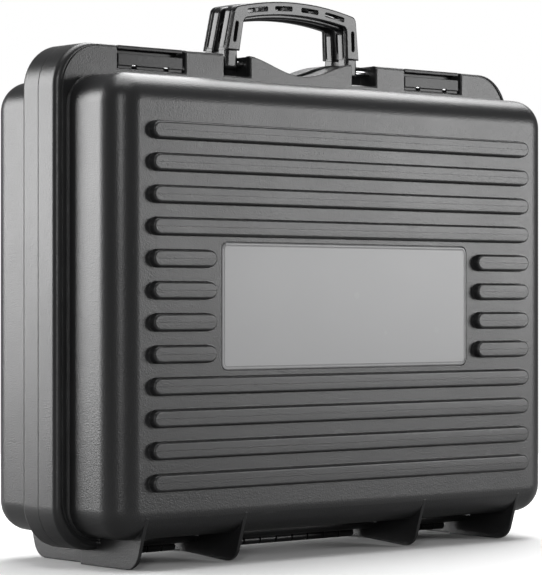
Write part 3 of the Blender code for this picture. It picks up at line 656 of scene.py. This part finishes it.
def foam_block(name, near, far):
    """A foam body that fills a half shell, made as in the lid."""
    offset = WALL + MM
    edge = SHELL_ROUND - offset
    bottom = -(SHELL_DEPTH - offset)
    block = rounded_block(name, SHELL_HALF - offset, SHELL_BOTTOM + offset, SHELL_TOP - offset, near,
                          bottom, SHELL_CORNER - offset, 6, edge, 5)
    if far > bottom + 1e-5:
        cut(block, cube("trim", (-0.3, bottom - MM, -0.1), (0.3, far, 0.5)))
    return block


def lid_foam():
    """Convoluted foam: rows of soft peaks on a solid sheet."""
    piece = foam_block("egg_crate_foam", -27 * MM, -73.3 * MM)
    pick_faces(piece, lambda middle, normal: normal.y > 0.9)
    bpy.ops.mesh.inset(thickness=3 * MM, depth=0)
    done(piece)
    deselect()
    columns, rows = 112, 84
    half, low, high = 212 * MM, 30.5 * MM, 345.5 * MM
    bpy.ops.mesh.primitive_grid_add(x_subdivisions=columns, y_subdivisions=rows, size=1,
                                    location=(0, -36.6 * MM, (low + high) / 2), rotation=(pi / 2, 0, 0))
    peaks = bpy.context.object
    peaks.scale = (2 * half, high - low, 1)
    settle(peaks)
    bpy.ops.object.mode_set(mode="EDIT")
    bpy.ops.mesh.select_all(action="SELECT")
    bpy.ops.mesh.extrude_region_move(TRANSFORM_OT_translate={"value": (0, -6 * MM, 0)})
    bpy.ops.mesh.select_all(action="SELECT")
    bpy.ops.mesh.normals_make_consistent(inside=False)
    done(peaks)
    pitch = 28 * MM
    for point in peaks.data.vertices:
        if point.co.y > -38 * MM:
            edge = min(half - abs(point.co.x), point.co.z - low, high - point.co.z)
            fade = min(1.0, max(0.0, edge / (10 * MM)))
            wave = cos(2 * pi * point.co.x / pitch) * cos(2 * pi * (point.co.z - LABEL_MIDDLE) / pitch)
            point.co.y += fade * 8.5 * MM * wave + 3.8 * MM * fade
    cut(piece, cube("bed", (-0.3, -37.6 * MM, -0.1), (0.3, 0, 0.5)))
    peaks.data.update()
    merge("egg_crate_foam", [piece, peaks])
    finish_mesh(piece, charcoal_foam(), "lid", 50, ["lid_foam"])


def base_foam():
    """A pick-and-pluck block with its pocket opened, over a thin pad."""
    block = foam_block("pluck_foam", -4 * MM, -63.0 * MM)
    pocket = cube("pocket", (-165 * MM, -54 * MM, 83 * MM), (165 * MM, MM, 293 * MM))
    bevel(pocket, along_y, 3 * MM, 4)
    cut(block, pocket)
    cut(block, cube("tray", (-195 * MM, -12 * MM, 38 * MM), (195 * MM, MM, 338 * MM)))
    cell = cube("cell", (-7.1 * MM, -12.6 * MM, -7.1 * MM), (7.1 * MM, -4 * MM, 7.1 * MM))
    bevel(cell, at_depth(-4 * MM), 0.8 * MM, 2)
    cells = []
    for column in range(26):
        for row in range(20):
            x, z = (column - 12.5) * 15 * MM, LABEL_MIDDLE + (row - 9.5) * 15 * MM
            if abs(x) > 165 * MM or abs(z - LABEL_MIDDLE) > 105 * MM:
                cells.append(copy(cell, "cell", (x, 0, z)))
    bpy.data.objects.remove(cell, do_unlink=True)
    block = merge("pluck_foam", [block, *cells])
    turn_to_base(block)
    finish_mesh(block, charcoal_foam(), "base", 40, ["base_foam_block"])
    pad = foam_block("foam_pad", -63.3 * MM, -73.3 * MM)
    turn_to_base(pad)
    finish_mesh(pad, charcoal_foam(), "base", 40, ["base_foam_pad"])


def turn_to_base(piece):
    piece.rotation_euler = (0, 0, pi)
    return settle(piece)


# ---------------------------------------------------------------- materials

def group(name, inputs, outputs):
    """An empty shader group with number inputs given as (name, value)."""
    tree = bpy.data.node_groups.new(name, "ShaderNodeTree")
    for label_text, value in inputs:
        socket = tree.interface.new_socket(label_text, in_out="INPUT", socket_type="NodeSocketFloat")
        socket.default_value = value
    for label_text, kind in outputs:
        tree.interface.new_socket(label_text, in_out="OUTPUT", socket_type=kind)
    return tree, tree.nodes.new("NodeGroupInput"), tree.nodes.new("NodeGroupOutput")


def add(tree, kind, **settings):
    node = tree.nodes.new(kind)
    for name, value in settings.items():
        if hasattr(node, name):
            setattr(node, name, value)
        else:
            node.inputs[name.replace("_", " ")].default_value = value
    return node


def math(tree, operation, first, second):
    node = tree.nodes.new("ShaderNodeMath")
    node.operation = operation
    for socket, value in zip(node.inputs, (first, second)):
        if isinstance(value, (int, float)):
            socket.default_value = value
        else:
            tree.links.new(value, socket)
    return node.outputs[0]


def spread(tree, value, low, high, to_low=0.0, to_high=1.0):
    node = tree.nodes.new("ShaderNodeMapRange")
    tree.links.new(value, node.inputs["Value"])
    for name, number in zip(("From Min", "From Max", "To Min", "To Max"), (low, high, to_low, to_high)):
        node.inputs[name].default_value = number
    return node.outputs["Result"]


def grain_group():
    """Spark-eroded mould texture: fine pits with a slower swell under them."""
    tree, ins, outs = group("moulded_grain", [("Pit Size", 0.0009), ("Swell", 0.3)],
                            [("Height", "NodeSocketFloat"), ("Fleck", "NodeSocketFloat")])
    place = add(tree, "ShaderNodeTexCoord").outputs["Object"]
    scale = math(tree, "DIVIDE", 1.0, ins.outputs["Pit Size"])
    pits = add(tree, "ShaderNodeTexVoronoi", feature="SMOOTH_F1")
    grit = add(tree, "ShaderNodeTexNoise", Detail=3.0, Roughness=0.6)
    swell = add(tree, "ShaderNodeTexNoise", Scale=55.0, Detail=2.0)
    for node in (pits, grit, swell):
        tree.links.new(place, node.inputs["Vector"])
    tree.links.new(scale, pits.inputs["Scale"])
    tree.links.new(math(tree, "MULTIPLY", scale, 0.7), grit.inputs["Scale"])
    fine = math(tree, "ADD", math(tree, "MULTIPLY", pits.outputs["Distance"], 0.6),
                math(tree, "MULTIPLY", grit.outputs["Fac"], 0.6))
    whole = math(tree, "ADD", fine, math(tree, "MULTIPLY", swell.outputs["Fac"], ins.outputs["Swell"]))
    tree.links.new(whole, outs.inputs["Height"])
    tree.links.new(grit.outputs["Fac"], outs.inputs["Fleck"])
    return tree


def wear_group():
    """Handling marks: hairline scratches and rubbed patches."""
    tree, ins, outs = group("handling_marks", [("Rub", 0.5), ("Scratches", 0.5)],
                            [("Rubbed", "NodeSocketFloat"), ("Scratch", "NodeSocketFloat")])
    place = add(tree, "ShaderNodeTexCoord").outputs["Object"]
    patch = add(tree, "ShaderNodeTexNoise", Scale=9.0, Detail=5.0, Roughness=0.62)
    tree.links.new(place, patch.inputs["Vector"])
    rubbed = math(tree, "MULTIPLY", spread(tree, patch.outputs["Fac"], 0.42, 0.72), ins.outputs["Rub"])
    total = None
    for turn, size in (((0.3, 0.9, 0.5), 38.0), ((1.2, 0.2, 2.1), 61.0)):
        stretch = add(tree, "ShaderNodeMapping")
        stretch.inputs["Rotation"].default_value = turn
        stretch.inputs["Scale"].default_value = (1.0, 26.0, 1.0)
        tree.links.new(place, stretch.inputs["Vector"])
        lines = add(tree, "ShaderNodeTexNoise", Scale=size, Detail=1.0)
        tree.links.new(stretch.outputs["Vector"], lines.inputs["Vector"])
        thin = spread(tree, lines.outputs["Fac"], 0.735, 0.76)
        total = thin if total is None else math(tree, "MAXIMUM", total, thin)
    tree.links.new(rubbed, outs.inputs["Rubbed"])
    tree.links.new(math(tree, "MULTIPLY", total, ins.outputs["Scratches"]), outs.inputs["Scratch"])
    return tree


def edge_group():
    """Where an outer edge is worn: the shading normal turns away from the true one."""
    tree, ins, outs = group("edge_wear", [("Amount", 0.5)], [("Worn", "NodeSocketFloat")])
    round_edge = add(tree, "ShaderNodeBevel", samples=4, Radius=0.0011)
    true = add(tree, "ShaderNodeNewGeometry")
    dot = add(tree, "ShaderNodeVectorMath", operation="DOT_PRODUCT")
    tree.links.new(round_edge.outputs["Normal"], dot.inputs[0])
    tree.links.new(true.outputs["Normal"], dot.inputs[1])
    edge = spread(tree, dot.outputs["Value"], 0.995, 0.82)
    place = add(tree, "ShaderNodeTexCoord").outputs["Object"]
    patch = add(tree, "ShaderNodeTexNoise", Scale=70.0, Detail=4.0)
    tree.links.new(place, patch.inputs["Vector"])
    broken = math(tree, "MULTIPLY", edge, spread(tree, patch.outputs["Fac"], 0.4, 0.62))
    tree.links.new(math(tree, "MULTIPLY", broken, ins.outputs["Amount"]), outs.inputs["Worn"])
    return tree


GROUPS = {}


def use(tree, name, **values):
    """Place a shared group in a material."""
    makers = {"moulded_grain": grain_group, "handling_marks": wear_group, "edge_wear": edge_group}
    if name not in GROUPS:
        GROUPS[name] = makers[name]()
    node = tree.nodes.new("ShaderNodeGroup")
    node.node_tree = GROUPS[name]
    for socket, value in values.items():
        node.inputs[socket.replace("_", " ")].default_value = value
    return node


def plastic(name, colour, roughness, worn_colour, pit=0.0009, bump=0.12, rub=0.5, scratches=0.5, wear=0.5,
            edge_radius=0.0006, variation=0.05, specular=0.5):
    """A moulded plastic with grain, handling marks, edge wear and soft edges."""
    made = bpy.data.materials.get(name)
    if made:
        return made
    made = bpy.data.materials.new(name)
    made.use_nodes = True
    tree = made.node_tree
    shader = tree.nodes["Principled BSDF"]
    shader.inputs["Specular IOR Level"].default_value = specular
    grain = use(tree, "moulded_grain", Pit_Size=pit)
    marks = use(tree, "handling_marks", Rub=rub, Scratches=scratches)
    edges = use(tree, "edge_wear", Amount=wear)
    paint = tree.nodes.new("ShaderNodeMix")
    paint.data_type = "RGBA"
    paint.inputs["A"].default_value = (*colour, 1)
    paint.inputs["B"].default_value = (*worn_colour, 1)
    scratch = math(tree, "MULTIPLY", marks.outputs["Scratch"], 0.5)
    light = math(tree, "MAXIMUM", edges.outputs["Worn"], scratch)
    light = math(tree, "MAXIMUM", light, math(tree, "MULTIPLY", marks.outputs["Rubbed"], 0.16))
    fleck = spread(tree, grain.outputs["Fleck"], 0.5, 0.75, 0.0, variation)
    tree.links.new(math(tree, "ADD", light, fleck), paint.inputs["Factor"])
    tree.links.new(paint.outputs["Result"], shader.inputs["Base Color"])
    swing = variation * 0.6
    rough = spread(tree, grain.outputs["Fleck"], 0.3, 0.7, roughness - swing, roughness + swing)
    rough = math(tree, "SUBTRACT", rough, math(tree, "MULTIPLY", marks.outputs["Rubbed"], 0.07))
    tree.links.new(rough, shader.inputs["Roughness"])
    relief = add(tree, "ShaderNodeBump", Strength=bump, Distance=0.0006)
    tree.links.new(grain.outputs["Height"], relief.inputs["Height"])
    round_edge = add(tree, "ShaderNodeBevel", samples=6, Radius=edge_radius)
    tree.links.new(round_edge.outputs["Normal"], relief.inputs["Normal"])
    tree.links.new(relief.outputs["Normal"], shader.inputs["Normal"])
    return made


def moulded_black():
    return plastic("moulded_black", (0.013, 0.0132, 0.0138), 0.34, (0.075, 0.075, 0.076), bump=0.24,
                   wear=0.45)


def handle_gloss():
    return plastic("handle_gloss", (0.008, 0.008, 0.0085), 0.24, (0.07, 0.07, 0.07), pit=0.0007, bump=0.04,
                   specular=0.38, rub=0.7, wear=0.5, edge_radius=0.0004)


def latch_black():
    return plastic("latch_black", (0.009, 0.009, 0.0095), 0.3, (0.06, 0.06, 0.06), pit=0.0007, bump=0.04,
                   specular=0.22, wear=0.4)


def satin_grey():
    return plastic("satin_grey", (0.3, 0.3, 0.305), 0.34, (0.42, 0.42, 0.42), pit=0.0005, bump=0.03, rub=0.2,
                   scratches=0.25, wear=0.2, variation=0.02)


def bright_steel():
    made = bpy.data.materials.get("bright_steel")
    if made:
        return made
    made = bpy.data.materials.new("bright_steel")
    made.use_nodes = True
    tree = made.node_tree
    shader = tree.nodes["Principled BSDF"]
    shader.inputs["Metallic"].default_value = 1.0
    place = add(tree, "ShaderNodeTexCoord").outputs["Object"]
    stretch = add(tree, "ShaderNodeMapping")
    stretch.inputs["Scale"].default_value = (1.0, 30.0, 30.0)
    tree.links.new(place, stretch.inputs["Vector"])
    drawn = add(tree, "ShaderNodeTexNoise", Scale=120.0, Detail=3.0)
    tree.links.new(stretch.outputs["Vector"], drawn.inputs["Vector"])
    ramp = tree.nodes.new("ShaderNodeValToRGB")
    ramp.color_ramp.elements[0].color = (0.42, 0.42, 0.43, 1)
    ramp.color_ramp.elements[1].color = (0.66, 0.66, 0.66, 1)
    tree.links.new(drawn.outputs["Fac"], ramp.inputs["Fac"])
    tree.links.new(ramp.outputs["Color"], shader.inputs["Base Color"])
    tree.links.new(spread(tree, drawn.outputs["Fac"], 0.3, 0.7, 0.2, 0.36), shader.inputs["Roughness"])
    relief = add(tree, "ShaderNodeBump", Strength=0.1, Distance=0.0001)
    tree.links.new(drawn.outputs["Fac"], relief.inputs["Height"])
    tree.links.new(relief.outputs["Normal"], shader.inputs["Normal"])
    return made


def charcoal_foam():
    made = bpy.data.materials.get("charcoal_foam")
    if made:
        return made
    made = bpy.data.materials.new("charcoal_foam")
    made.use_nodes = True
    tree = made.node_tree
    shader = tree.nodes["Principled BSDF"]
    shader.inputs["Specular IOR Level"].default_value = 0.15
    shader.inputs["Sheen Weight"].default_value = 0.25
    shader.inputs["Sheen Roughness"].default_value = 0.6
    place = add(tree, "ShaderNodeTexCoord").outputs["Object"]
    cells = add(tree, "ShaderNodeTexVoronoi", feature="F1", Scale=1100.0)
    cloud = add(tree, "ShaderNodeTexNoise", Scale=40.0, Detail=4.0)
    for node in (cells, cloud):
        tree.links.new(place, node.inputs["Vector"])
    # The colour follows the same height as the bump: painted shade darkens the low pits of the cells, and the
    # cloud noise adds random tone
    depth = math(tree, "ADD", math(tree, "MULTIPLY", cells.outputs["Distance"], 0.75),
                 math(tree, "MULTIPLY", cloud.outputs["Fac"], 0.4))
    ramp = tree.nodes.new("ShaderNodeValToRGB")
    ramp.color_ramp.elements[0].position, ramp.color_ramp.elements[1].position = 0.15, 0.85
    ramp.color_ramp.elements[0].color = (0.014, 0.014, 0.015, 1)
    ramp.color_ramp.elements[1].color = (0.06, 0.06, 0.063, 1)
    tree.links.new(depth, ramp.inputs["Fac"])
    tree.links.new(ramp.outputs["Color"], shader.inputs["Base Color"])
    tree.links.new(spread(tree, cloud.outputs["Fac"], 0.3, 0.7, 0.88, 1.0), shader.inputs["Roughness"])
    relief = add(tree, "ShaderNodeBump", Strength=0.5, Distance=0.0008)
    tree.links.new(depth, relief.inputs["Height"])
    tree.links.new(relief.outputs["Normal"], shader.inputs["Normal"])
    return made


# ---------------------------------------------------------------- stage, lights and camera

def floor():
    deselect()
    bpy.ops.mesh.primitive_circle_add(vertices=96, radius=1.3, fill_type="NGON", location=(0, 0, -0.0002))
    sheet = settle(bpy.context.object)
    sheet.name = "floor"
    paint = bpy.data.materials.new("floor_paint")
    paint.use_nodes = True
    tree = paint.node_tree
    shader = tree.nodes["Principled BSDF"]
    shader.inputs["Roughness"].default_value = 0.8
    # Painted shade: the floor shows pale (0.92) to the camera but dark (0.3) in reflections and bounce light,
    # which darkens the case's lower faces
    seen = add(tree, "ShaderNodeLightPath")
    floor_tone_painted_dark_in_reflections = spread(tree, seen.outputs["Is Camera Ray"], 0, 1, 0.3, 0.92)
    tree.links.new(floor_tone_painted_dark_in_reflections, shader.inputs["Base Color"])
    sheet.data.materials.append(paint)


def softbox(name, place, aim, width, height, power):
    lamp = bpy.data.lights.new(name, "AREA")
    lamp.shape, lamp.size, lamp.size_y, lamp.energy = "RECTANGLE", width, height, power
    box = bpy.data.objects.new(name, lamp)
    bpy.context.scene.collection.objects.link(box)
    box.location = place
    box.rotation_euler = (Vector(aim) - Vector(place)).to_track_quat("-Z", "Y").to_euler()


def studio():
    scene = bpy.context.scene
    scene.view_settings.view_transform = "Standard"
    world = bpy.data.worlds.new("studio")
    world.use_nodes = True
    tree = world.node_tree
    back = tree.nodes["Background"]
    seen = tree.nodes.new("ShaderNodeLightPath")
    tree.links.new(spread(tree, seen.outputs["Is Camera Ray"], 0, 1, 0.16, 1.0), back.inputs["Strength"])
    back.inputs["Color"].default_value = (1, 1, 1, 1)
    scene.world = world
    softbox("left_box", (-1.42, 1.66, 0.66), (-0.15, 0, 0.22), 1.1, 1.3, 44)
    softbox("near_strip", (-1.75, -1.75, 0.75), (-0.1, 0, 0.2), 0.24, 1.2, 14)
    softbox("right_box", (1.82, -1.72, 0.46), (0, 0, 0.22), 1.2, 0.66, 25)
    softbox("back_box", (0.86, 0.5, 1.78), (0, 0, 0.3), 1.5, 1.6, 42)
    softbox("top_box", (-0.1, -0.1, 1.9), (0, 0, 0.3), 1.2, 1.2, 18)

    lens = bpy.data.cameras.new("view")
    lens.sensor_fit, lens.sensor_width, lens.sensor_height, lens.lens = "AUTO", 36, 36, 160.84
    lens.shift_y, lens.clip_start, lens.clip_end = 16 / 575, 0.05, 50
    camera = bpy.data.objects.new("view", lens)
    scene.collection.objects.link(camera)
    camera.location, camera.rotation_euler = (-1.319, -1.505, 0.190), (pi / 2, 0, radians(-41))
    scene.camera = camera


# ---------------------------------------------------------------- the case

model = half_body()
lid_shell(model)
base_shell(model)
bpy.data.objects.remove(model, do_unlink=True)
label()
handle("front_grip", "front_handle", -1)
handle("rear_grip", "rear_handle", 1)
latch("left", -1)
latch("right", 1)
hinge_pins()
lid_foam()
base_foam()
floor()
studio()
